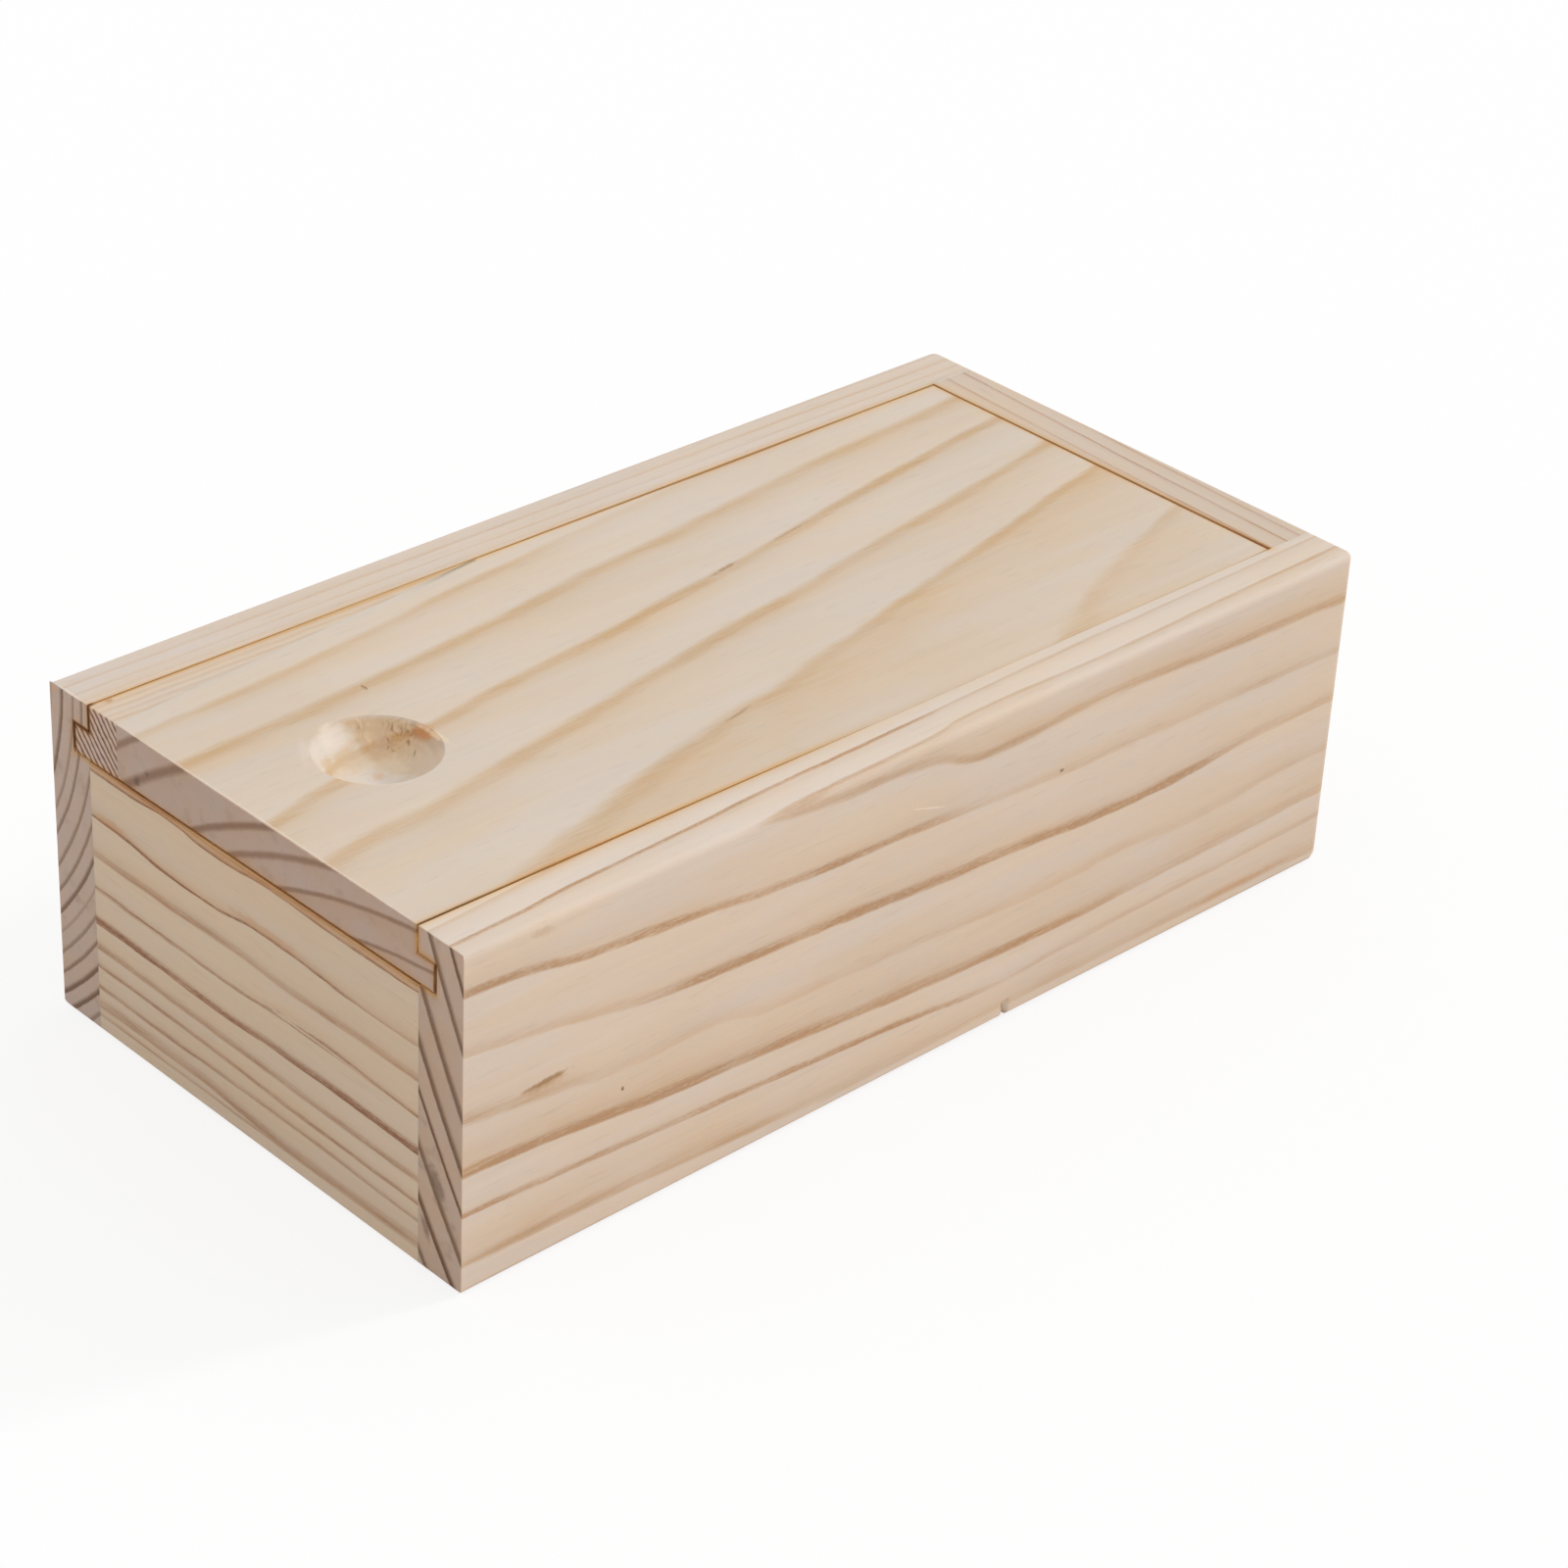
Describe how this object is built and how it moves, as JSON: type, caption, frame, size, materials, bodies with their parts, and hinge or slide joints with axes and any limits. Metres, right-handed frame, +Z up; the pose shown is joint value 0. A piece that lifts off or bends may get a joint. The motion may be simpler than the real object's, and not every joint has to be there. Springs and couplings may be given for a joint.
{
  "type": "sliding lid box",
  "caption": "Rectangular pine box with glued butt joints, a flush lid that slides out at the front in two grooves, and a round finger scoop in the lid.",
  "frame": {"origin": "middle of the base, at the height that the box rests on", "axes": "+Y along the length, towards the back; +Z up; the lid slides out at the front, towards -Y"},
  "size_m": [0.075, 0.145, 0.045],
  "materials": {
    "side_board_pine": "bare pale pine, sanded, with tan growth rings",
    "end_board_pine": "bare pale pine, sanded, with tan growth rings",
    "bottom_pine": "bare pale pine, sanded",
    "lid_pine": "bare pale pine, sanded, with soft tan growth rings"
  },
  "bodies": {
    "box": {"left_side_board": "side_board_pine", "right_side_board": "side_board_pine", "front_board": "end_board_pine", "back_board": "end_board_pine", "bottom_panel": "bottom_pine"},
    "lid": {"lid_board": "lid_pine", "lid_edge_strip": "lid_pine"}
  },
  "joints": [
    {"name": "lid_slide", "type": "slide", "parent": "box", "child": "lid", "axis": [0, -1, 0], "range_m": [0, 0.14]}
  ]
}
